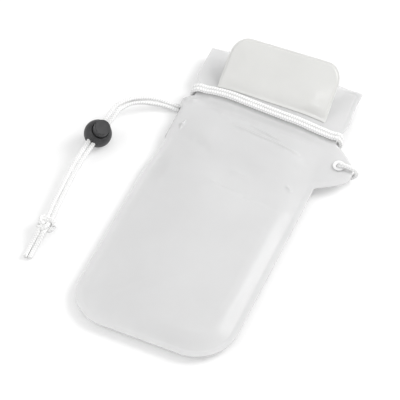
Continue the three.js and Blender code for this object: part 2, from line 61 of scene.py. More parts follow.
# Heights above the table, and the stations along the bag where they change
BODY_PLANE = 5
NECK_PLANE = 8
PLANE_RISE = (130, 172)
NECK_UNDERSIDE = 3.9
BACK_RISE = (158, 177)
BELLY_RISE = 5.5
NECK_RISE = 2.5
MOUTH_RISE = 4.2
NECK_START = 150
NECK_MIDDLE = 192
FRONT_SHOULDER = 29
BACK_SHOULDER = 12

# Ears, eyelets, the left ear's fold, and how far the sides are drawn in at the fold and the cord
EAR_START = 151
EAR_TIP = (166.5, 168.5)
EAR_END = 190
EAR_REACH = 18.8
EAR_DRAPE = 6
EYELET_DRAPE = 0.5
FOLD_RADIUS = 1.3
FOLD_LENGTH = math.pi * FOLD_RADIUS
FOLD_DRAW = 3
FOLD_DRAW_START = (124, 150)
LEFT_CORD_DRAW = 5.5
RIGHT_CORD_DRAW = 1.3
DRAW_START = (185.5, 192.5)
DRAW_END = (198.5, 208.5)
DRAW_BAND = 14
EYELET_STATION = 173.1
EYELET_INSET = 8.4
EYELET_X = HALF_WIDTH + EYELET_INSET
LEFT_EYELET_X = -HALF_WIDTH + EYELET_INSET - FOLD_LENGTH + FOLD_DRAW
LEFT_EAR_TIP = -HALF_WIDTH + EAR_REACH - FOLD_LENGTH + FOLD_DRAW
EYELET_BORE = 1.9
EYELET_BARREL = 2.5
EYELET_FLANGE = 4.2
EYELET_EDGE = 0.8

# Flap and patches
FLAP_HALF = 38.5
FLAP_CENTRE = 1.7
FLAP_START = 202.6
FLAP_WELD_END = 204.6
FLAP_END = 235
FLAP_CORNER = 10.6
FLAP_EDGE_THICKNESS = 1
FLAP_BASE_THICKNESS = 0.45
FLAP_THICKNESS = 1.7
FLAP_RIM = (0.8, 1.8)
FLAP_BASE_RAMP = 7
FLAP_PILLOW = 0.9
FLAP_PILLOW_REACH = 20
FLAP_GROOVE = 0.22
FLAP_GROOVE_LINE = (1, 0.35)
FLAP_GROOVE_START = (0, 3)
FLAP_RIM_START = (0, 4)
FLAP_EDGE_ROUNDING = 0.2
FLAP_MESH = 1.2
FLAP_RINGS = (0.5, 1, 1.5, 2, 2.5, 3, 3.5, 4.2)
FLAP_SLOPE = 0.64
FLAP_TWIST = 0.0012
FLAP_FLATTENING = 0.75
PATCH_HALF = 30
PATCH_THICKNESS = 0.6
PATCH_MESH = 0.6
LOOP_PATCH = (150.5, 166)
HOOK_PATCH = (211.5, 230.5)

# Cord and cord lock
CORD_RADIUS = 1.5
PAIR_OFFSET = CORD_RADIUS + CLEARANCE / 2
ON_TABLE = CORD_RADIUS + CLEARANCE
OVER_CORD = ON_TABLE + 2 * CORD_RADIUS + CLEARANCE
LOCK_RADIUS = 9.2
LOCK_TRAVEL = 3.2
BUTTON_RADIUS = 5.3
BUTTON_STAND_OUT = 3.5
LOCK_FLOOR = 2.8
LOCK_LIP = 0.6
BORE_ROUNDING = 0.35
BUTTON_FOOT = 1.5
BUTTON_CHAMFER = 0.2
BUTTON_ROUNDING = 0.5
BUTTON_DISH = 0.1
SPRING_INSET = 1.5
SPRING_TURNS = 2.25
WIRE_RADIUS = 0.25
CORD_OPENING = 2 * CORD_RADIUS + 2 * CLEARANCE
SLOT_HEIGHT = CORD_OPENING + LOCK_TRAVEL
SLOT_WIDTH = 2 * (PAIR_OFFSET + CORD_RADIUS + CLEARANCE)
SLOT_RELIEF = 3
LOCK_CENTRE = Vector((-92, 134.7, LOCK_RADIUS))
BUTTON_DIRECTION = Vector((0.399, -0.185, 0.897)).normalized()
CORD_HEADING = Vector((0.15, 0.98, 0.135))
LOCK_ACROSS = CORD_HEADING.cross(BUTTON_DIRECTION).normalized()
LOCK_ALONG = BUTTON_DIRECTION.cross(LOCK_ACROSS)
KNOT_CENTRE = Vector((-91.2, 56, 6.4))
KNOT_RADIUS = 3.7


# The camera, at the photograph's angle
def add_camera():
    azimuth = math.radians(23.84)
    elevation = math.radians(51.65)
    distance = 1.46865
    field_of_view = math.radians(10)
    target = Vector((-0.01166, 0.02765, 0))
    back = Vector((
        math.sin(azimuth) * math.cos(elevation),
        -math.cos(azimuth) * math.cos(elevation),
        math.sin(elevation),
    ))
    data = bpy.data.cameras.new("camera")
    data.lens = data.sensor_width / 2 / math.tan(field_of_view / 2)
    camera = bpy.data.objects.new("camera", data)
    camera.location = target + distance * back
    camera.rotation_euler = back.to_track_quat("Z", "Y").to_euler()
    bpy.context.scene.collection.objects.link(camera)
    bpy.context.scene.camera = camera


# Materials
def new_look(name, color, roughness, **values):
    look = bpy.data.materials.new(name)
    look.use_nodes = True
    shader = look.node_tree.nodes["Principled BSDF"]
    shader.inputs["Base Color"].default_value = (*color, 1)
    shader.inputs["Roughness"].default_value = roughness
    for socket, value in values.items():
        shader.inputs[socket.replace("_", " ")].default_value = value
    return look, shader


def add_node(look, kind, inputs=(), **settings):
    made = look.node_tree.nodes.new(kind)
    for key, value in settings.items():
        setattr(made, key, value)
    for key, value in dict(inputs).items():
        if isinstance(value, bpy.types.NodeSocket):
            look.node_tree.links.new(value, made.inputs[key])
        else:
            made.inputs[key].default_value = value
    return made


def grain(look, size, detail=2, stretch=(1, 1, 1)):
    """Noise of that size in millimetres, in the row frame."""
    place = add_node(look, "ShaderNodeTexCoord").outputs["Object"]
    moved = add_node(look, "ShaderNodeMapping", {"Vector": place, "Scale": stretch}).outputs[0]
    inputs = {"Vector": moved, "Scale": 1 / (size * MM), "Detail": detail}
    return add_node(look, "ShaderNodeTexNoise", inputs).outputs[0]


def tint(look, shader, value, dark, light, start=0.3, end=0.7):
    """The base colour goes from dark to light with a value from 0 to 1."""
    ramp = add_node(look, "ShaderNodeValToRGB", {0: value})
    ramp.color_ramp.elements[0].position = start
    ramp.color_ramp.elements[1].position = end
    ramp.color_ramp.elements[0].color = (*dark, 1)
    ramp.color_ramp.elements[1].color = (*light, 1)
    look.node_tree.links.new(ramp.outputs[0], shader.inputs["Base Color"])


def bump(look, shader, height, strength, distance, under=None):
    inputs = {"Height": height, "Strength": strength, "Distance": distance * MM}
    if under is not None:
        inputs["Normal"] = under
    normal = add_node(look, "ShaderNodeBump", inputs).outputs[0]
    look.node_tree.links.new(normal, shader.inputs["Normal"])
    return normal


def film_look():
    look, shader = new_look(
        "frosted_film", (0.88, 0.88, 0.883), 0.5, Alpha=0.6, Coat_Weight=0.3, Coat_Roughness=0.08,
        Subsurface_Weight=0.3, Subsurface_Radius=(3, 3, 3), Subsurface_Scale=MM,
    )
    tint(look, shader, grain(look, 30, 3), (0.885, 0.885, 0.888), (0.92, 0.92, 0.922))
    fine = bump(look, shader, grain(look, 0.5), 0.1, 0.1)
    bump(look, shader, grain(look, 6, 2), 0.1, 0.4, fine)
    return look


def flap_look():
    look, shader = new_look(
        "padded_film", (0.78, 0.78, 0.76), 0.3, Coat_Weight=0.4, Coat_Roughness=0.1,
    )
    tint(look, shader, grain(look, 24, 2), (0.725, 0.725, 0.707), (0.76, 0.76, 0.743))
    bump(look, shader, grain(look, 5, 3), 0.12, 0.5)
    return look


def zip_look():
    look, shader = new_look("zip_profile", (0.68, 0.69, 0.71), 0.35)
    tint(look, shader, grain(look, 3, 2, (1, 8, 1)), (0.66, 0.67, 0.69), (0.73, 0.74, 0.75))
    bump(look, shader, grain(look, 0.8, 1, (0.2, 1, 1)), 0.2, 0.1)
    return look


def cord_look():
    """Painted shade: the base colour is darker between the stitches, by the braid's own height."""
    look, shader = new_look("braided_cord", (0.86, 0.86, 0.855), 0.8, Sheen_Weight=0.1)
    stitch_shade = add_node(look, "ShaderNodeAttribute", attribute_name="braid").outputs["Fac"]
    tint(look, shader, stitch_shade, (0.68, 0.68, 0.675), (0.96, 0.96, 0.955), 0.1, 0.6)
    bump(look, shader, grain(look, 0.22, 1), 0.3, 0.12)
    return look


def pile_look(name, size):
    look, shader = new_look(name, (0.82, 0.82, 0.8), 0.95, Sheen_Weight=0.3)
    pile_relief_and_shade = grain(look, size, 4)
    # Painted shade: the pile's colour is darker where its bump is lower, in its hollows
    tint(look, shader, pile_relief_and_shade, (0.55, 0.55, 0.54), (0.88, 0.88, 0.86))
    bump(look, shader, pile_relief_and_shade, 0.8, 0.4)
    return look


def eyelet_look():
    look, shader = new_look("eyelet_plastic", (0.88, 0.88, 0.88), 0.25, Coat_Weight=0.3)
    tint(look, shader, grain(look, 2, 2), (0.84, 0.84, 0.84), (0.9, 0.9, 0.9))
    bump(look, shader, grain(look, 0.6, 2), 0.05, 0.1)
    return look


def lock_look():
    look, shader = new_look("moulded_plastic", (0.03, 0.03, 0.032), 0.5)
    tint(look, shader, grain(look, 3, 3), (0.024, 0.024, 0.026), (0.038, 0.038, 0.04))
    bump(look, shader, grain(look, 0.25, 2), 0.15, 0.06)
    return look


def spring_look():
    look, shader = new_look("spring_wire", (0.7, 0.71, 0.73), 0.28, Metallic=1)
    bump(look, shader, grain(look, 0.15, 2), 0.2, 0.03)
    return look


# Meshes
def mesh_object(name, points, faces, look, sharp=50):
    """points are x, v and height in millimetres."""
    in_metres = (np.asarray(points, float) - (0, REST_CENTRE, 0)) * MM
    mesh = bpy.data.meshes.new(name)
    mesh.from_pydata(in_metres.tolist(), [], [list(face) for face in faces])
    mesh.materials.append(look)
    mesh.shade_smooth()
    mesh.set_sharp_from_angle(angle=math.radians(sharp))
    made = bpy.data.objects.new(name, mesh)
    bpy.context.scene.collection.objects.link(made)
    return made


def dress(piece, slot, body, *nodes):
    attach(piece, body)
    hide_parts(*nodes)
    return piece


def ease(value, low, high):
    t = np.clip((value - low) / (high - low), 0, 1)
    return t * t * (3 - 2 * t)


def between(value, start, end):
    """1 between the two eased ends, and 0 outside them."""
    return ease(value, *start) * (1 - ease(value, *end))


def ridge(value, place, width):
    return np.exp(-(((value - place) / width) ** 2))


def mix(a, b, t):
    return a + (b - a) * t


# Flat outlines filled with fine triangles
def distance_to(points, loop):
    """Distance from each point to a closed outline."""
    nearest = np.full(len(points), np.inf)
    for a, d in zip(loop, np.roll(loop, -1, axis=0) - loop):
        along = np.clip(((points - a) @ d) / (d @ d), 0, 1)
        gap = np.hypot(*(points - a - along[:, None] * d).T)
        nearest = np.minimum(nearest, gap)
    return nearest


def inside(points, loop):
    crossings = np.zeros(len(points), int)
    for (ax, ay), (bx, by) in zip(loop, np.roll(loop, -1, axis=0)):
        level = (ay > points[:, 1]) != (by > points[:, 1])
        slope = (bx - ax) / (by - ay) if by != ay else 0
        crossings += level & (points[:, 0] < ax + slope * (points[:, 1] - ay))
    return crossings % 2 == 1


def circle(centre, radius, count):
    angle = np.linspace(0, 2 * math.pi, count, endpoint=False)
    return np.array(centre) + radius * np.column_stack([np.cos(angle), np.sin(angle)])


def rings_inside(loop, depths):
    """Points at set depths inside an outline, so that its border can hold fine relief."""
    along = np.roll(loop, -1, axis=0) - np.roll(loop, 1, axis=0)
    along /= np.hypot(*along.T)[:, None]
    inward = np.column_stack([-along[:, 1], along[:, 0]])
    found = []
    for depth in depths:
        ring = loop + depth * inward
        found.append(ring[inside(ring, loop) & (distance_to(ring, loop) > depth - 0.15)])
    return np.vstack(found)


def hex_grid(low, high, spacing):
    rows = np.arange(low[1], high[1], spacing * 0.866)
    points = []
    for number, v in enumerate(rows):
        xs = np.arange(low[0] + (number % 2) * spacing / 2, high[0], spacing)
        points.append(np.column_stack([xs, np.full(len(xs), v)]))
    return np.vstack(points)


def fill(loop, holes, spacing, depths, extra=None, skip=None):
    """Triangles over an outline with holes. The outline runs anticlockwise."""
    grid = hex_grid(loop.min(0), loop.max(0), spacing)
    grid = grid[inside(grid, loop)]
    grid = grid[distance_to(grid, loop) > max(depths) + spacing / 2]
    free = [grid, rings_inside(loop, depths)]
    if extra is not None:
        free = [part[~skip(part)] for part in free] + [extra]
    points = np.vstack(free)
    for hole in holes:
        middle = hole.mean(0)
        reach = np.hypot(*(hole[0] - middle))
        points = points[np.hypot(*(points - middle).T) > reach + spacing / 2]
    loops = [loop, *holes]
    edges = []
    count = 0
    for ring in loops:
        edges += [(count + i, count + (i + 1) % len(ring)) for i in range(len(ring))]
        count += len(ring)
    everything = np.vstack([*loops, points])
    made = delaunay_2d_cdt([Vector(p) for p in everything], edges, [], 0, 1e-6)
    flat = np.array([tuple(p) for p in made[0]])
    faces = np.array(made[2])
    centre = flat[faces].mean(1)
    keep = inside(centre, loop)
    for hole in holes:
        keep &= ~inside(centre, hole)
    return flat, faces[keep]


def two_sides(x, v, upper, lower):
    return np.vstack([np.column_stack([x, v, upper]), np.column_stack([x, v, lower])])


def shell_faces(faces, count):
    """A closed shell: the top, the bottom turned over, and a wall along every open edge."""
    sides = np.vstack([faces[:, [0, 1]], faces[:, [1, 2]], faces[:, [2, 0]]])
    key = sides[:, 0] * count + sides[:, 1]
    back = sides[:, 1] * count + sides[:, 0]
    a, b = sides[~np.isin(key, back)].T
    walls = np.column_stack([b, a, a + count, b + count])
    return [*faces.tolist(), *(faces[:, ::-1] + count).tolist(), *walls.tolist()]


# The films' forms
def weld_plane(v):
    return mix(BODY_PLANE, NECK_PLANE, ease(v, *PLANE_RISE))


def inside_edge(x, v):
    over_x = np.abs(x) - (HALF_WIDTH - CORNER)
    over_v = CORNER - v
    rounded = CORNER - np.hypot(over_x, over_v)
    straight = np.minimum(HALF_WIDTH - np.abs(x), v)
    return np.where((over_x > 0) & (over_v > 0), rounded, straight)


def swell(x, v, margin, shoulder):
    t = np.clip((inside_edge(x, v) - margin) / shoulder, 0, 1)
    return np.sin(t * math.pi / 2) ** 2


def front_rise(v):
    body = mix(BELLY_RISE, NECK_RISE, ease(v, NECK_START, NECK_MIDDLE))
    return body + (MOUTH_RISE - NECK_RISE) * ease(v, NECK_MIDDLE, LENGTH)


# The front film's sides rise from the weld over these distances inwards, shared between two curves
RIGHT_RAMP = 14
RIGHT_CROWN = (20, 45)
RIGHT_SHARE = 0.78
LEFT_RAMP = 40
LEFT_CROWN = (-6, 42)
LEFT_SHARE = 0.3
LEFT_WELD_BLEND = 6
LEFT_TO_RIGHT = (-20, 20)
BODY_TO_NECK = (110, 170)
FLAT_CORNER_X = (29, 44)
FLAT_CORNER_V = (205, 222)


def front_smooth(x, v):
    """As the solid, with straighter flanks beside the weld and a flat mouth corner at the right."""
    inward = inside_edge(x, v) - WELD_MARGIN
    steep = np.sin(np.clip(inward / RIGHT_RAMP, 0, 1) * math.pi / 2) ** 1.3
    right = mix(ease(inward, *RIGHT_CROWN), steep, RIGHT_SHARE)
    left = mix(ease(inward, *LEFT_CROWN), np.clip(inward / LEFT_RAMP, 0, 1), LEFT_SHARE)
    left *= ease(inward, 0, LEFT_WELD_BLEND)
    flank = mix(left, right, ease(x, *LEFT_TO_RIGHT))
    side = mix(flank, swell(x, v, WELD_MARGIN, FRONT_SHOULDER), ease(v, *BODY_TO_NECK))
    corner = ease(x, *FLAT_CORNER_X) * ease(v, *FLAT_CORNER_V)
    return weld_plane(v) + WELD_GAP / 2 + front_rise(v) * side * (1 - corner)


# Creases: from x, v to x, v, then the width on the left of that line, on its right, and the height
CREASES = [
    (-14, 175.6, 36, 169.4, 0.95, 1.1, 1.2),
    (-3, 179.6, 21, 174.9, 0.9, 1, 0.85),
    (-4, 171, 36, 165, 3, 5, 0.55),
    (-24, 180.5, -18, 179.3, 1.3, 1.5, 0.7),
    (-42, 128, -14, 126, 12, 28, 2.4),
    (-30, 153, -22, 150, 3, 5, -0.7),
    (-1, 140.6, 16, 137.6, 1.6, 2.4, 0.55),
    (12, 153, 18, 152, 5, 5, 0.3),
    (38.6, 142.8, 40, 142, 1.2, 1.2, 1.1),
    (-34, 116, -30, 117, 2, 2, 0.25),
    (-12, 118, -6, 124, 4, 4, 0.3),
]
PUCKERS = [
    (-51, 185.4, -47.4, 186, 1.7, 1.7, 1.8),
    (-46.5, 186, -38, 190, 2, 3, 0.7),
    (-48.5, 164.2, -45.6, 164.8, 0.8, 0.9, 0.9),
    (-46.6, 162, -45.8, 167.5, 0.85, 0.85, 0.95),
]
VALLEY = (-42, 186.8, 47, 184.8, 3, 3, -1.6)
FLAP_BULGE = (27, 205, 32, 205, 4.5, 4.5, 1)

# Random waves: height, size and seed
BROAD_WAVES = (0.5, 34, 1.5)
SMALL_WAVES = (0.22, 13, 4.5)
SMALL_WAVES_START = (90, 150)
FLAP_RIPPLES = (0.25, 16, 7.5)
PILE = (0.12, 1.1, 2.5)

# A crease that is narrow and long runs out at its ends
NARROW = 2
LONG = 8

# Rectangles of the films with finer triangles, for the sharpest creases
FINE_ZONES = [((-15, 166), (37, 183)), ((34, 138), (44, 147)), ((-51, 158.5), (-43, 170))]
FINE_MESH = 0.55
FILM_MESH = 1.35
FILM_RINGS = (0.7, 1.4, 2.1, 2.8, 3.5, 4.2, 5)

# Points nearer the outline than this are on it, and are drawn in to round the edge
AT_EDGE = 0.1
FILM_EDGE_ROUNDING = 0.12


def crease(x, v, x0, v0, x1, v1, left, right, height):
    start = np.array([x0, v0])
    axis = np.array([x1, v1]) - start
    place = np.column_stack([x, v]) - start
    along = np.clip(place @ axis / (axis @ axis), 0, 1)
    gap = np.hypot(*(place - along[:, None] * axis).T)
    width = np.where(axis[0] * place[:, 1] - axis[1] * place[:, 0] > 0, left, right)
    if left < NARROW and axis @ axis > LONG ** 2:
        height = height * (4 * along * (1 - along)) ** 0.6
    return height * ridge(gap, 0, width)


def waves(x, v, height, size, seed):
    values = [noise.noise(Vector((a / size, b / size, seed))) for a, b in zip(x, v)]
    return height * np.array(values)


def front_wrinkles(x, v):
    loose = swell(x, v, WELD_MARGIN, 14)
    held = 1 - ease(v, 180, 189)
    small = waves(x, v, *SMALL_WAVES) * ease(v, *SMALL_WAVES_START)
    body = waves(x, v, *BROAD_WAVES) + small
    folds = sum(crease(x, v, *one) for one in CREASES)
    puckers = sum(crease(x, v, *one) for one in PUCKERS)
    valley = crease(x, v, *VALLEY) * swell(x, v, WELD_MARGIN, 20)
    return loose * held * (body + folds) + valley + puckers


# The weld's inner line, as distance from the edge and width, and the heights of its relief
WELD_BEAD = (2.7, 0.6)
WELD_GROOVE = (2.8, 0.5)
BEAD_HEIGHT = 0.08
CORNER_BEAD_HEIGHT = 0.3
GROOVE_DEPTH = 0.25


def weld_relief(edge, x, v):
    """A bead, highest round the bottom's right corner, and a groove in the strip's right weld."""
    corner = ease(x, 5, 25) * (1 - ease(v, 12, 30))
    bead = (BEAD_HEIGHT + CORNER_BEAD_HEIGHT * corner) * (1 - ease(v, 180, 188))
    groove = GROOVE_DEPTH * ease(x, 40, 50) * ease(v, 202, 206)
    return bead * ridge(edge, *WELD_BEAD) - groove * ridge(edge, *WELD_GROOVE)


def patch_dent(x, v):
    across = 1 - ease(np.abs(x), PATCH_HALF + 1, PATCH_HALF + 6)
    low = LOOP_PATCH[0] - 1
    return (PATCH_THICKNESS + CLEARANCE) * across * ease(v, low - 5, low)


def over_ear(x, v):
    across = 1 - ease(x, LEFT_EAR_TIP + CLEARANCE, LEFT_EAR_TIP + BACK_SHOULDER)
    along = between(v, (EAR_START - EAR_DRAPE, EAR_START), (EAR_END, EAR_END + EAR_DRAPE))
    half_pair = (2 * FILM + CLEARANCE) / 2
    return (weld_plane(v) - 2 * FOLD_RADIUS + half_pair + CLEARANCE) * across * along


def over_eyelet(x, v):
    across = 1 - ease(x, LEFT_EYELET_X + EAR_DRAPE, LEFT_EYELET_X + 2 * EAR_DRAPE)
    along = 1 - ease(np.abs(v - EYELET_STATION), EAR_DRAPE, 2 * EAR_DRAPE)
    outside = FILM + CLEARANCE / 2 + CLEARANCE + EYELET_DRAPE
    return (weld_plane(v) - 2 * FOLD_RADIUS + outside + CLEARANCE) * across * along


def back_under(x, v):
    edge = weld_plane(v) - WELD_GAP / 2 - FILM
    lowest = NECK_UNDERSIDE * ease(v, *BACK_RISE)
    sagged = mix(edge, lowest, swell(x, v, BACK_MARGIN, BACK_SHOULDER))
    return np.maximum.reduce([sagged, patch_dent(x, v), over_ear(x, v), over_eyelet(x, v)])


def ear_width(v):
    up = np.clip((v - EAR_START) / (EAR_TIP[0] - EAR_START), 0, 1)
    down = np.clip((EAR_END - v) / (EAR_END - EAR_TIP[1]), 0, 1)
    return HALF_WIDTH + EAR_REACH * np.sin(math.pi / 2 * up) * np.sin(math.pi / 2 * down)


def film_outline(step=1.4):
    angle = np.radians(np.linspace(-90, 0, 30))
    arc = np.column_stack([np.cos(angle), np.sin(angle)]) * CORNER + (HALF_WIDTH - CORNER, CORNER)
    vs = np.arange(CORNER + step, LENGTH, step)
    side = np.column_stack([ear_width(vs), vs])
    xs = np.arange(HALF_WIDTH, step / 2, -step)
    top = np.column_stack([xs, np.full(len(xs), LENGTH)])
    flat = np.arange(step, HALF_WIDTH - CORNER, step)
    bottom = np.column_stack([flat, np.zeros(len(flat))])
    right = np.vstack([bottom, arc, side, top])
    left = right[::-1] * (-1, 1)
    return np.vstack([right, [(0, LENGTH)], left, [(0, 0)]])


def drawn_in(x, v):
    """The sides are drawn in where the cord is tied, and the left one along its fold too."""
    band = ease(np.abs(x), HALF_WIDTH - DRAW_BAND, HALF_WIDTH)
    near_cord = between(v, DRAW_START, DRAW_END)
    along_fold = FOLD_DRAW * between(v, FOLD_DRAW_START, DRAW_END)
    left = mix(along_fold, LEFT_CORD_DRAW, near_cord)
    return np.where(x < 0, left, -RIGHT_CORD_DRAW * near_cord) * band


# How far the strip's left corner is pulled out and down, and how far the strip's right side and the
# neck's left side stand out
CORNER_PULL = (0.6, 2.2)
CORNER_PULL_START = 25
STRIP_STAND_OUT = 1.7
NECK_STAND_OUT = 2
STAND_OUT_START = 40


def skewed_mouth(bent, x, v):
    reach = HALF_WIDTH - CORNER_PULL_START
    pulled = np.clip((-x - CORNER_PULL_START) / reach, 0, 1.2) * ease(v, 205, LENGTH)
    bent[:, :2] -= pulled[:, None] * CORNER_PULL
    strip = ease(x, STAND_OUT_START, HALF_WIDTH) * between(v, (198.5, 201), (206, 228))
    neck = ease(-x, STAND_OUT_START, HALF_WIDTH) * between(v, (177.5, 182), (186, 191))
    bent[:, 0] += STRIP_STAND_OUT * strip - NECK_STAND_OUT * neck
    return bent


def fold_under(points):
    """The left ear is turned under, round a small roll at the bag's side."""
    drawn = drawn_in(points[:, 0], points[:, 1])
    past = np.maximum(0, -HALF_WIDTH - points[:, 0])
    plane = weld_plane(points[:, 1])
    radius = FOLD_RADIUS + points[:, 2] - plane
    turn = np.minimum(past, FOLD_LENGTH) / FOLD_RADIUS
    folded = points.copy()
    folded[:, 0] = -HALF_WIDTH - radius * np.sin(turn) + np.maximum(0, past - FOLD_LENGTH)
    folded[:, 2] = plane - FOLD_RADIUS + radius * np.cos(turn)
    bent = np.where((past > 0)[:, None], folded, points)
    bent[:, 0] += drawn
    return skewed_mouth(bent, points[:, 0], points[:, 1])


def film_pattern():
    loop = film_outline()
    centres = [(side * EYELET_X, EYELET_STATION) for side in (-1, 1)]
    holes = [circle(centre, EYELET_BARREL + 0.1, 28)[::-1] for centre in centres]
    folds = np.linspace(-HALF_WIDTH - FOLD_LENGTH, -HALF_WIDTH, 10)
    rows = np.arange(EAR_START, EAR_END, 1.2)
    columns = np.array([(x, v) for x in folds for v in rows])
    columns = columns[inside(columns, loop) & (distance_to(columns, loop) > 0.4)]
    fine = [columns, *(hex_grid(low, high, FINE_MESH) for low, high in FINE_ZONES)]

    def skip(p):
        across = (p[:, 0] > folds[0] - 0.5) & (p[:, 0] < folds[-1] + 0.5)
        found = across & (p[:, 1] > EAR_START)
        for low, high in FINE_ZONES:
            found |= np.all((p > np.array(low) - 0.4) & (p < np.array(high) + 0.4), axis=1)
        return found

    return loop, fill(loop, holes, FILM_MESH, FILM_RINGS, np.vstack(fine), skip)


def films(look):
    loop, (flat, faces) = film_pattern()
    edge = distance_to(flat, loop)
    x, v = flat.T
    front = front_smooth(x, v) + front_wrinkles(x, v)
    back = back_under(x, v)
    all_faces = shell_faces(faces, len(flat))
    rounded = FILM_EDGE_ROUNDING * (edge < AT_EDGE)

    def film(name, upper, lower, node):
        points = two_sides(x, v, upper - rounded, lower + rounded)
        return dress(mesh_object(name, fold_under(points), all_faces, look), "film", "pouch", node)

    film("film_front", front + FILM + weld_relief(edge, x, v), front, "front_panel")
    film("film_back", back + FILM, back, "back_panel")


# The flap: two films welded round a soft pad
def flap_under(x, v):
    lift = (FLAP_SLOPE + FLAP_TWIST * (x - FLAP_CENTRE)) * np.maximum(0, v - FLAP_WELD_END)
    crown = 1 - FLAP_FLATTENING * ease(v, FLAP_WELD_END, FLAP_END)
    seat = mix(0.03, CLEARANCE, ease(v, FLAP_START + 1, FLAP_START + 6))
    base = weld_plane(v) + CLEARANCE / 2 + FILM + seat
    return base + lift + crown * front_rise(v) * swell(x, v, WELD_MARGIN, FRONT_SHOULDER)


def flap_outline(step=1.2):
    def corner(centre, first, last):
        angle = np.radians(np.linspace(first, last, 18))
        return np.array(centre) + FLAP_CORNER * np.column_stack([np.cos(angle), np.sin(angle)])

    xs = np.arange(-FLAP_HALF, FLAP_HALF, step)
    base = np.column_stack([xs, np.full(len(xs), FLAP_START)])
    vs = np.arange(FLAP_START, FLAP_END - FLAP_CORNER - step / 2, step)
    right = np.column_stack([np.full(len(vs), FLAP_HALF), vs])
    upper_right = corner((FLAP_HALF - FLAP_CORNER, FLAP_END - FLAP_CORNER), 0, 90)
    inner = np.arange(FLAP_HALF - FLAP_CORNER - step, -(FLAP_HALF - FLAP_CORNER) + step / 2, -step)
    top = np.column_stack([inner, np.full(len(inner), FLAP_END)])
    upper_left = corner((-FLAP_HALF + FLAP_CORNER, FLAP_END - FLAP_CORNER), 90, 180)
    left = (right * (-1, 1))[:0:-1]
    return np.vstack([base, right, upper_right, top, upper_left, left]) + (FLAP_CENTRE, 0)


def flap(look):
    loop = flap_outline()
    flat, faces = fill(loop, [], FLAP_MESH, FLAP_RINGS)
    edge = distance_to(flat, loop)
    x, v = flat.T
    under = flap_under(x, v)
    from_base = v - FLAP_START
    from_sides = np.where(from_base < edge + 0.01, np.inf, edge)
    body = np.minimum(ease(from_sides, *FLAP_RIM), ease(from_base, 0, FLAP_BASE_RAMP))
    pillow = FLAP_PILLOW * np.sin(np.clip(edge / FLAP_PILLOW_REACH, 0, 1) * math.pi / 2)
    groove = FLAP_GROOVE * ridge(edge, *FLAP_GROOVE_LINE) * ease(from_base, *FLAP_GROOVE_START)
    ripples = waves(x, v, *FLAP_RIPPLES) + crease(x, v, *FLAP_BULGE)
    rim = mix(FLAP_BASE_THICKNESS, FLAP_EDGE_THICKNESS, ease(from_base, *FLAP_RIM_START))
    upper = under + mix(rim, FLAP_THICKNESS, body) + body * (pillow + ripples) - groove
    rounded = FLAP_EDGE_ROUNDING * (edge < AT_EDGE)
    points = two_sides(x, v, upper - rounded, under + rounded)
    piece = mesh_object("padded_flap", points, shell_faces(faces, len(flat)), look)
    dress(piece, "flap", "pouch", "closure_flap")


# Hook and loop patches, with their pile
def patch(name, node, centre, low, high, surface, look):
    columns = round(2 * PATCH_HALF / PATCH_MESH) + 1
    xs = np.linspace(centre - PATCH_HALF, centre + PATCH_HALF, columns)
    vs = np.linspace(low, high, round((high - low) / PATCH_MESH) + 1)
    x, v = (part.ravel() for part in np.meshgrid(xs, vs))
    across = len(xs)
    cells = np.array([j * across + i for j in range(len(vs) - 1) for i in range(across - 1)])
    faces = np.vstack([
        np.column_stack([cells, cells + 1, cells + across + 1]),
        np.column_stack([cells, cells + across + 1, cells + across]),
    ])
    near = surface(x, v) - CLEARANCE * 0.2
    rim = np.minimum.reduce([PATCH_HALF - np.abs(x - centre), v - low, high - v])
    pile_relief_and_shade = waves(x, v, *PILE) * ease(rim, 0.2, 1)
    depth = PATCH_THICKNESS * (0.75 + 0.25 * ease(rim, 0.2, 1.2)) + pile_relief_and_shade
    points = two_sides(x, v, near, near - depth)
    piece = mesh_object(name, points, shell_faces(faces, len(x)), look)
    return dress(piece, "hook_and_loop", "pouch", node)


# Turned pieces: a closed profile of radius and height, round its own axis
def turned(profile, count):
    angle = np.linspace(0, 2 * math.pi, count, endpoint=False)
    points = [(r * math.cos(a), r * math.sin(a), h) for a in angle for r, h in profile]
    size = len(profile)
    faces = []
    for i in range(count):
        for j in range(size):
            a, b = i * size + j, i * size + (j + 1) % size
            c, d = ((i + 1) % count) * size + (j + 1) % size, ((i + 1) % count) * size + j
            faces.append((a, d, c, b))
    return np.array(points), faces


def rounding(centre, radius, first, last, count=6):
    angle = np.radians(np.linspace(first, last, count))
    return [(centre[0] + radius * math.cos(a), centre[1] + radius * math.sin(a)) for a in angle]


def eyelet(name, node, x, height, look):
    """A barrel through both films, with a rounded flange on each side."""
    reach = FILM + CLEARANCE / 2 + CLEARANCE / 2
    round_edge = EYELET_EDGE / 2
    outer = EYELET_FLANGE - round_edge
    profile = [
        *rounding((EYELET_BORE + round_edge, reach + round_edge), round_edge, 180, 90),
        *rounding((outer, reach + round_edge), round_edge, 90, -90),
        (EYELET_BARREL, reach),
        (EYELET_BARREL, -reach),
        *rounding((outer, -reach - round_edge), round_edge, 90, -90),
        *rounding((EYELET_BORE + round_edge, -reach - round_edge), round_edge, -90, -180),
    ]
    points, faces = turned(profile, 48)
    faces = [face[::-1] for face in faces]
    piece = mesh_object(name, points + (x, EYELET_STATION, height), faces, look)
    return dress(piece, "eyelet", "pouch", node)


# Cord lock
def solid_of_revolution(profile, count):
    """A profile from the bottom of the axis to the top of the axis, with its ends on the axis."""
    middle = profile[1:-1]
    size = len(middle)
    angle = np.linspace(0, 2 * math.pi, count, endpoint=False)
    points = [(r * math.cos(a), r * math.sin(a), h) for a in angle for r, h in middle]
    points += [(0, 0, profile[0][1]), (0, 0, profile[-1][1])]
    first, last = len(points) - 2, len(points) - 1
    faces = []
    for i in range(count):
        here, beyond = i * size, ((i + 1) % count) * size
        for j in range(size - 1):
            faces.append((here + j, beyond + j, beyond + j + 1, here + j + 1))
        faces.append((first, beyond, here))
        faces.append((here + size - 1, beyond + size - 1, last))
    return np.array(points), faces


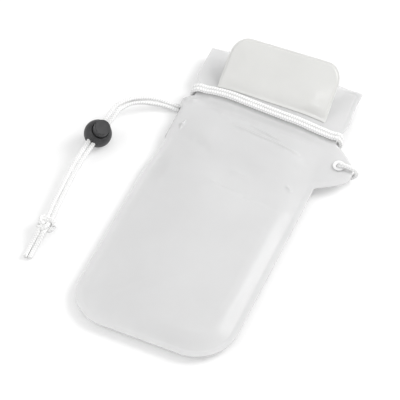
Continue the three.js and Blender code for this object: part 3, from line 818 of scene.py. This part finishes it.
def in_lock_frame(points):
    basis = np.array([LOCK_ACROSS, LOCK_ALONG, BUTTON_DIRECTION])
    return np.asarray(points) @ basis + np.array(LOCK_CENTRE)


def rounded_slot(width, low, high, half_depth, radius=0.5, count=5):
    """A bar with rounded corners along the cords."""
    section = []
    for cx, cz, first in [(1, 1, 0), (-1, 1, 90), (-1, -1, 180), (1, -1, 270)]:
        centre = (cx * (width / 2 - radius), (low + high) / 2 + cz * ((high - low) / 2 - radius))
        section += rounding(centre, radius, first, first + 90, count)
    size = len(section)
    points = [(x, side * half_depth, z) for side in (-1, 1) for x, z in section]
    faces = [(i, (i + 1) % size, size + (i + 1) % size, size + i) for i in range(size)]
    faces += [tuple(range(size))[::-1], tuple(range(size, 2 * size))]
    return np.array(points), [tuple(face) for face in faces]


def cut(piece, cutter):
    modifier = piece.modifiers.new("cut", "BOOLEAN")
    modifier.operation = "DIFFERENCE"
    modifier.solver = "EXACT"
    modifier.object = cutter
    bpy.context.view_layer.update()
    evaluated = piece.evaluated_get(bpy.context.evaluated_depsgraph_get())
    mesh = bpy.data.meshes.new_from_object(evaluated)
    piece.modifiers.remove(modifier)
    piece.data = mesh
    bpy.data.objects.remove(cutter)
    mesh.shade_smooth()
    mesh.set_sharp_from_angle(angle=math.radians(35))


def cord_lock(look):
    bore = BUTTON_RADIUS + CLEARANCE
    rim_height = math.sqrt(LOCK_RADIUS ** 2 - (bore + LOCK_LIP) ** 2)
    bore_floor = -LOCK_RADIUS + LOCK_FLOOR
    rim_angle = math.degrees(math.atan2(rim_height, bore + LOCK_LIP))
    ball = rounding((0, 0), LOCK_RADIUS, -90, rim_angle - 1.5, 48)
    ball[0] = (0, -LOCK_RADIUS)
    bore_edge = (bore + BORE_ROUNDING, rim_height - BORE_ROUNDING)
    body_profile = [
        *ball,
        *rounding(bore_edge, BORE_ROUNDING, 60, 180, 7),
        (bore, bore_floor),
        (0, bore_floor),
    ]
    width = SLOT_WIDTH + SLOT_RELIEF
    slot = rounded_slot(width, -SLOT_HEIGHT / 2, SLOT_HEIGHT / 2, 2 * LOCK_RADIUS)
    slot[0][:, 0] -= SLOT_RELIEF / 2
    points, faces = solid_of_revolution(body_profile, 96)
    body = mesh_object("lock_shell", in_lock_frame(points), faces, look)
    cut(body, mesh_object("cutter", in_lock_frame(slot[0]), slot[1], look))
    dress(body, "lock_plastic", "lock", "lock_body")

    slot_low = -SLOT_HEIGHT / 2 + LOCK_TRAVEL
    foot = slot_low - BUTTON_FOOT
    top = LOCK_RADIUS + BUTTON_STAND_OUT
    top_edge = (BUTTON_RADIUS - BUTTON_ROUNDING, top - BUTTON_ROUNDING)
    button_profile = [
        (0, foot),
        (BUTTON_RADIUS - BUTTON_CHAMFER, foot),
        (BUTTON_RADIUS, foot + BUTTON_CHAMFER),
        *rounding(top_edge, BUTTON_ROUNDING, 0, 90, 10),
        (BUTTON_RADIUS - 2 * BUTTON_ROUNDING, top - 0.4 * BUTTON_DISH),
        (0, top - BUTTON_DISH),
    ]
    points, faces = solid_of_revolution(button_profile, 80)
    button = mesh_object("lock_push_button", in_lock_frame(points), faces, look)
    slot = rounded_slot(SLOT_WIDTH, slot_low, slot_low + SLOT_HEIGHT, 2 * LOCK_RADIUS)
    cut(button, mesh_object("cutter", in_lock_frame(slot[0]), slot[1], look))
    dress(button, "lock_plastic", "button", "lock_button")
    return body, button


# Cords
def smooth_path(points, step):
    """A centripetal curve through the points, with a point every step along it."""
    given = [Vector(p) for p in points]
    ends = [2 * given[0] - given[1], *given, 2 * given[-1] - given[-2]]
    dense = []
    for p0, p1, p2, p3 in zip(ends, ends[1:], ends[2:], ends[3:]):
        t1 = math.sqrt((p1 - p0).length)
        t2 = t1 + math.sqrt((p2 - p1).length)
        t3 = t2 + math.sqrt((p3 - p2).length)
        for t in np.linspace(t1, t2, 24, endpoint=False):
            a1 = p0.lerp(p1, t / t1)
            a2 = p1.lerp(p2, (t - t1) / (t2 - t1))
            a3 = p2.lerp(p3, (t - t2) / (t3 - t2))
            b1 = a1.lerp(a2, t / t2)
            b2 = a2.lerp(a3, (t - t1) / (t3 - t1))
            dense.append(b1.lerp(b2, (t - t1) / (t2 - t1)))
    dense = np.array([*dense, given[-1]])
    return spaced(dense, step)


def spaced(line, step):
    length = np.concatenate([[0], np.cumsum(np.linalg.norm(np.diff(line, axis=0), axis=1))])
    places = np.linspace(0, length[-1], round(length[-1] / step) + 1)
    return np.column_stack([np.interp(places, length, line[:, k]) for k in range(3)])


# The braid: columns of slanting stitches, and the cord's finest rings
COLUMNS = 4
STITCH = 1.75
STAGGER = 0.25
SLANT = 0.3
BRAID_DEPTH = 0.23
BRAID_OVER = 0.08
CORD_SIDES = 30
CORD_STEP = 0.34


def braid(angle, along):
    """Height of the braid from 0 to 1, each column of stitches half a stitch on from the last."""
    column = COLUMNS * angle / (2 * math.pi)
    across = column % 1
    way = np.where(np.floor(column) % 2 == 0, 1, -1)
    stitch = (along / STITCH + way * (STAGGER + SLANT * (across - 0.5))) % 1
    return np.sin(math.pi * stitch) ** 0.8 * (0.35 + 0.65 * np.sin(math.pi * across) ** 0.7)


def tube(line, radius, closed=False):
    """A tube along a line, with a radius for each point and each side."""
    count, around = radius.shape
    if closed:
        tangent = np.roll(line, -1, axis=0) - np.roll(line, 1, axis=0)
    else:
        tangent = np.gradient(line, axis=0)
    tangent /= np.linalg.norm(tangent, axis=1)[:, None]
    side = np.cross(tangent[0], (0.1, 0.2, 1))
    side /= np.linalg.norm(side)
    sides = []
    for t in tangent:
        side = side - (side @ t) * t
        side /= np.linalg.norm(side)
        sides.append(side)
    sides = np.array(sides)
    up = np.cross(tangent, sides)
    angle = np.linspace(0, 2 * math.pi, around, endpoint=False)
    cosine, sine = np.cos(angle)[None, :, None], np.sin(angle)[None, :, None]
    ring = cosine * sides[:, None] + sine * up[:, None]
    points = (line[:, None] + radius[:, :, None] * ring).reshape(-1, 3)
    rows = np.arange(count if closed else count - 1)[:, None] * around
    here = (rows + np.arange(around)).ravel()
    after = (rows + (np.arange(around) + 1) % around).ravel()
    total = count * around
    corners = [here, after, (after + around) % total, (here + around) % total]
    faces = np.column_stack(corners).tolist()
    if not closed:
        faces.append(list(range(around))[::-1])
        faces.append(list(range(total - around, total)))
    return points, faces


def braided_tube(name, line, look, closed=False):
    angle = np.linspace(0, 2 * math.pi, CORD_SIDES, endpoint=False)
    along = np.arange(len(line)) * CORD_STEP
    height = braid(angle[None, :], along[:, None])
    radius = CORD_RADIUS + BRAID_OVER - BRAID_DEPTH * (1 - height)
    if not closed:
        from_end = np.minimum(along, along[::-1])
        radius *= (0.82 + 0.18 * ease(from_end, 0, 0.7))[:, None]
    piece = mesh_object(name, *tube(line, radius, closed), look, 75)
    # The braid's height, kept as an attribute for the cord's painted shade between the stitches
    stitch_shade = piece.data.attributes.new("braid", "FLOAT", "POINT")
    stitch_shade.data.foreach_set("value", height.ravel().astype(np.float32))
    return piece


def lock_spring(look):
    """The spring under the button's foot."""
    foot = -LOCK_RADIUS + LOCK_FLOOR + CLEARANCE
    head = LOCK_TRAVEL - SLOT_HEIGHT / 2 - BUTTON_FOOT - CLEARANCE
    turn = np.linspace(0, 2 * math.pi * SPRING_TURNS, 150)
    coil = BUTTON_RADIUS - SPRING_INSET
    rise = np.linspace(foot + WIRE_RADIUS, head - WIRE_RADIUS, len(turn))
    line = in_lock_frame(np.column_stack([coil * np.cos(turn), coil * np.sin(turn), rise]))
    points, faces = tube(line, np.full((len(line), 12), WIRE_RADIUS))
    piece = mesh_object("coil_spring", points, faces, look)
    dress(piece, "spring_steel", "lock", "lock_spring")
    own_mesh(piece)
    return piece


def placed(point):
    """A cord's point is x, distance above the neck's start, and height."""
    x, distance, height = point[:3]
    return Vector((x, NECK_START + distance, height))


def beside(points, side):
    """One cord of a pair. A point's last numbers lead from the pair's middle to the first cord."""
    middle = [placed(p) for p in points]
    found = []
    for i, p in enumerate(points):
        heading = (middle[min(len(points) - 1, i + 1)] - middle[max(0, i - 1)]).normalized()
        offset = Vector((*p[3:], 0)[:3])
        offset -= offset.dot(heading) * heading
        found.append(middle[i] + side * PAIR_OFFSET * offset.normalized())
    return found


# How far the wound cord stays off the front film
CORD_LIFT = 0.2


def on_front(x, distance, side_x, side_v):
    place = np.array([float(x)]), np.array([float(NECK_START + distance)])
    rise = front_rise(place[1]) * swell(*place, WELD_MARGIN, FRONT_SHOULDER)
    top = float((weld_plane(place[1]) + CLEARANCE / 2 + rise)[0]) + FILM
    return (x, distance, top + CORD_LIFT + CORD_RADIUS, side_x, side_v)


UNDER_NECK = [
    (-54, 31.2, ON_TABLE, 0, 1),
    (-39, 31.2, ON_TABLE, 0, 1),
    (-20, 31, ON_TABLE, 0, 1),
    (0, 31, ON_TABLE, 0, 1),
    (20, 31, ON_TABLE, 0, 1),
    (38, 31.2, ON_TABLE, 0, 1),
    (44, 32.6, ON_TABLE, -0.25, 1),
    (48.8, 36.2, ON_TABLE, -0.6, 0.8),
    (51.8, 40, ON_TABLE, -0.7, 0.7),
]
RIGHT_SIDE = [
    (53.8, 42.6, 3, -0.5, 0.85),
    (54.8, 43.9, 5.2, -0.35, 0.93),
    (54.9, 44.3, 8.2, -0.2, 0.98),
    (53.2, 44.2, 10.7, -0.1, 1),
]
OVER_FRONT = [
    on_front(49, 44, 0.05, 1),
    on_front(42, 44.1, 0.05, 1),
    on_front(34, 44.2, 0.05, 1),
    on_front(24, 44.6, 0.05, 1),
    on_front(12, 45, 0.05, 1),
    on_front(0, 45.7, 0.05, 1),
    on_front(-12, 46.4, 0.05, 1),
    on_front(-24, 47.2, 0.03, 1),
    on_front(-34, 47.4, 0, 1),
    on_front(-42, 47, -0.08, 1),
]
LEFT_SIDE = [
    (-47.4, 46.2, 11.2, -0.15, 1),
    (-50.7, 45.5, 8.7, -0.15, 1),
    (-50.7, 45, 5, -0.1, 1),
    (-48, 44.4, 2.5, -0.1, 1),
]
UNDER_AGAIN = [
    (-43, 43.4, ON_TABLE, -0.08, 1),
    (-32, 42.3, ON_TABLE, 0, 1),
    (-10, 42.2, ON_TABLE, 0, 1),
    (10, 42.3, ON_TABLE, 0, 1),
    (28, 41.9, ON_TABLE, 0.05, 1),
    (36, 41.2, ON_TABLE, 0.1, 1),
    (41.4, 39.9, 3, 0.25, 1),
    (46, 37.6, OVER_CORD, 0.5, 0.87),
    (50.1, 34.8, OVER_CORD, 0.6, 0.8),
    (53.8, 31.5, OVER_CORD, 0.7, 0.72),
]
THROUGH_EYELET = [
    (58.2, 28.5, 4.2),
    (60.8, 25.1, 3.6),
    (61.9, 23.2, 4.6),
    (61.9, 23.1, 6.4),
    (62.1, 23.1, 8.4),
    (63.6, 22.8, 10.6),
    (65.6, 22.8, 11.3),
    (68.6, 23, 10.9),
    (72, 23.2, 10.2),
    (73.8, 23.3, 8.4),
    (73.7, 22.9, 5.6),
    (71.6, 21.9, 3.2),
    (67.8, 20.5, 2),
    (63, 20.4, ON_TABLE),
    (58.6, 23, 2.6),
    (55.6, 26.5, 4.3),
]


def neck_cord(look):
    pair = [*UNDER_NECK, *RIGHT_SIDE, *OVER_FRONT, *LEFT_SIDE, *UNDER_AGAIN]
    end = [placed(point) for point in THROUGH_EYELET]
    points = [*beside(pair, 1), *end, *beside(pair, -1)[::-1]]
    piece = braided_tube("wound_cord", smooth_path(points, CORD_STEP), look)
    return dress(piece, "cord", "pouch", "neck_cord")


def in_lock(along):
    height_in_lock = SLOT_HEIGHT / 2 - CORD_OPENING / 2
    place = LOCK_CENTRE + along * LOCK_ALONG + height_in_lock * BUTTON_DIRECTION
    return (place.x, place.y - NECK_START, place.z, *(-LOCK_ACROSS))


KNOT_X, KNOT_V, KNOT_Z = KNOT_CENTRE
KNOT_D = KNOT_V - NECK_START
KNOT_FACE = 4 + CLEARANCE
FREE_ROUTE = [
    (-54.4, 31.3, ON_TABLE, 0, 1),
    (-59.5, 31, 2.1, 0, 1),
    (-65.5, 29.8, 3.8, 0.2, 1, 0.1),
    (-72, 26.6, 6.6, 0.5, 1, 0.3),
    (-78.2, 22, 9.6, 0.4, 0.9, 0.6),
    (-83.3, 16.2, 11.9, 0.1, 0.7, 0.8),
    (-86.6, 9.8, 13.2, -0.5, 0.3, 0.7),
    in_lock(22),
    in_lock(14),
    in_lock(6),
    in_lock(-3),
    in_lock(-9.5),
    (-93.6, -35, 8.6, -0.9, 0, 0.35),
    (-94, -45, 7.6, -0.95, 0, 0.25),
    (-93.8, -56, 6.9, -1, 0, 0.1),
    (-93, -68, 6.5, -1, 0, 0),
    (-92.2, -79, 6.4, -1, 0, 0),
    (KNOT_X, KNOT_D + 9.5, KNOT_Z, -1, 0, 0),
    (KNOT_X, KNOT_D + KNOT_FACE, KNOT_Z, -1, 0, 0),
    (KNOT_X, KNOT_D - KNOT_FACE, KNOT_Z, -1, 0, 0),
    (KNOT_X, KNOT_D - 7.4, KNOT_Z - 0.1, -1, 0, 0),
    (-91.8, -107, 3.6, -1, 0, 0),
    (-92.3, -112.5, ON_TABLE, -1, 0.05, 0),
    (-91.8, -119.6, ON_TABLE, -1, 0.1, 0),
]


def knot(look):
    """One cord that winds twice round the knot's ring and three times through it."""
    turn = np.linspace(0, 4 * math.pi, 400)
    through = turn * 1.5
    reach = KNOT_RADIUS * (2 + np.cos(through)) / 2
    height = KNOT_RADIUS * np.sin(through) / 2
    ring = np.column_stack([reach * np.cos(turn), reach * np.sin(turn), height])
    line = spaced(ring, CORD_STEP)[:-1] + np.array(KNOT_CENTRE)
    piece = braided_tube("overhand_knot", line, look, closed=True)
    return dress(piece, "cord", "pouch", "cord_knot")


def free_cords(look):
    for number, side in ((1, 1), (2, -1)):
        line = smooth_path(beside(FREE_ROUTE, side), CORD_STEP)
        piece = braided_tube(f"free_cord_{number}", line, look)
        dress(piece, "cord", "pouch", f"free_strand_{number}", f"cord_tail_{number}")


# The floor, the lamps and the world
FLOOR_COLOR = (0.78, 0.78, 0.78)
FLOOR_LIFT = 0.235
FLOOR_HALF = 4
FLOOR_HEIGHT = -0.0003
WORLD_LEVEL = 0.68

# Lamps: place, size and power
LAMPS = {
    "key": ((0.85, 0.7, 0.9), 0.8, 10.6),
    "fill": ((-0.9, -0.8, 0.8), 1.4, 5),
    "top": ((0.08, -0.5, 1.15), 0.2, 0.6),
}


def floor_look():
    """Pale paper. What sees it directly sees it a little brighter, as white."""
    look = bpy.data.materials.new("floor")
    look.use_nodes = True
    tree = look.node_tree
    tree.nodes.remove(tree.nodes["Principled BSDF"])

    def combine(operation, a, b):
        return add_node(look, "ShaderNodeMath", {0: a, 1: b}, operation=operation).outputs[0]

    seen = add_node(look, "ShaderNodeLightPath").outputs
    direct = combine("MAXIMUM", seen["Is Camera Ray"], seen["Is Glossy Ray"])
    straight = combine("MAXIMUM", direct, seen["Is Transmission Ray"])
    lift = combine("MULTIPLY", straight, FLOOR_LIFT)
    glow = add_node(look, "ShaderNodeEmission", {"Color": (1, 1, 1, 1), "Strength": lift})
    paper = add_node(look, "ShaderNodeBsdfDiffuse", {"Color": (*FLOOR_COLOR, 1)})
    both = add_node(look, "ShaderNodeAddShader", {0: glow.outputs[0], 1: paper.outputs[0]})
    tree.links.new(both.outputs[0], tree.nodes["Material Output"].inputs["Surface"])
    return look


def floor():
    sides = [(-1, -1), (1, -1), (1, 1), (-1, 1)]
    corners = [(x * FLOOR_HALF, y * FLOOR_HALF, FLOOR_HEIGHT) for x, y in sides]
    mesh = bpy.data.meshes.new("floor")
    mesh.from_pydata(corners, [], [(0, 1, 2, 3)])
    mesh.materials.append(floor_look())
    made = bpy.data.objects.new("floor", mesh)
    bpy.context.scene.collection.objects.link(made)


def lamp(name, place, size, power):
    data = bpy.data.lights.new(name, "AREA")
    data.shape = "DISK"
    data.size = size
    data.energy = power
    made = bpy.data.objects.new(name, data)
    made.location = place
    made.rotation_euler = Vector(place).to_track_quat("Z", "Y").to_euler()
    bpy.context.scene.collection.objects.link(made)


def light_up():
    world = bpy.data.worlds.new("studio")
    world.use_nodes = True
    background = world.node_tree.nodes["Background"]
    background.inputs["Color"].default_value = (1, 1, 1, 1)
    background.inputs["Strength"].default_value = WORLD_LEVEL
    bpy.context.scene.world = world
    for name, values in LAMPS.items():
        lamp(name, *values)


def dress_hidden(look, *names):
    for name in names:
        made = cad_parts[name]
        made.data.materials.clear()
        made.data.materials.append(look)


add_camera()
cord_material = cord_look()
lock_pieces = [*cord_lock(lock_look()), lock_spring(spring_look())]
knot_piece = knot(cord_material)
free_cords(cord_material)
neck_cord(cord_material)
films(film_look())
flap(flap_look())
patch("hook_pad", "hook_patch", FLAP_CENTRE, *HOOK_PATCH, flap_under, pile_look("hooks", 0.9))
patch("loop_pad", "loop_patch", 0, *LOOP_PATCH, back_under, pile_look("loops", 0.6))
eyelet_material = eyelet_look()
eyelet("eyelet_right", "right_eyelet", EYELET_X, NECK_PLANE, eyelet_material)
eyelet("eyelet_left", "left_eyelet", LEFT_EYELET_X, NECK_PLANE - 2 * FOLD_RADIUS, eyelet_material)
dress_hidden(zip_look(), "zip_rib_track", "zip_groove_track")
floor()
light_up()

scene = bpy.context.scene
scene.view_settings.view_transform = "Standard"
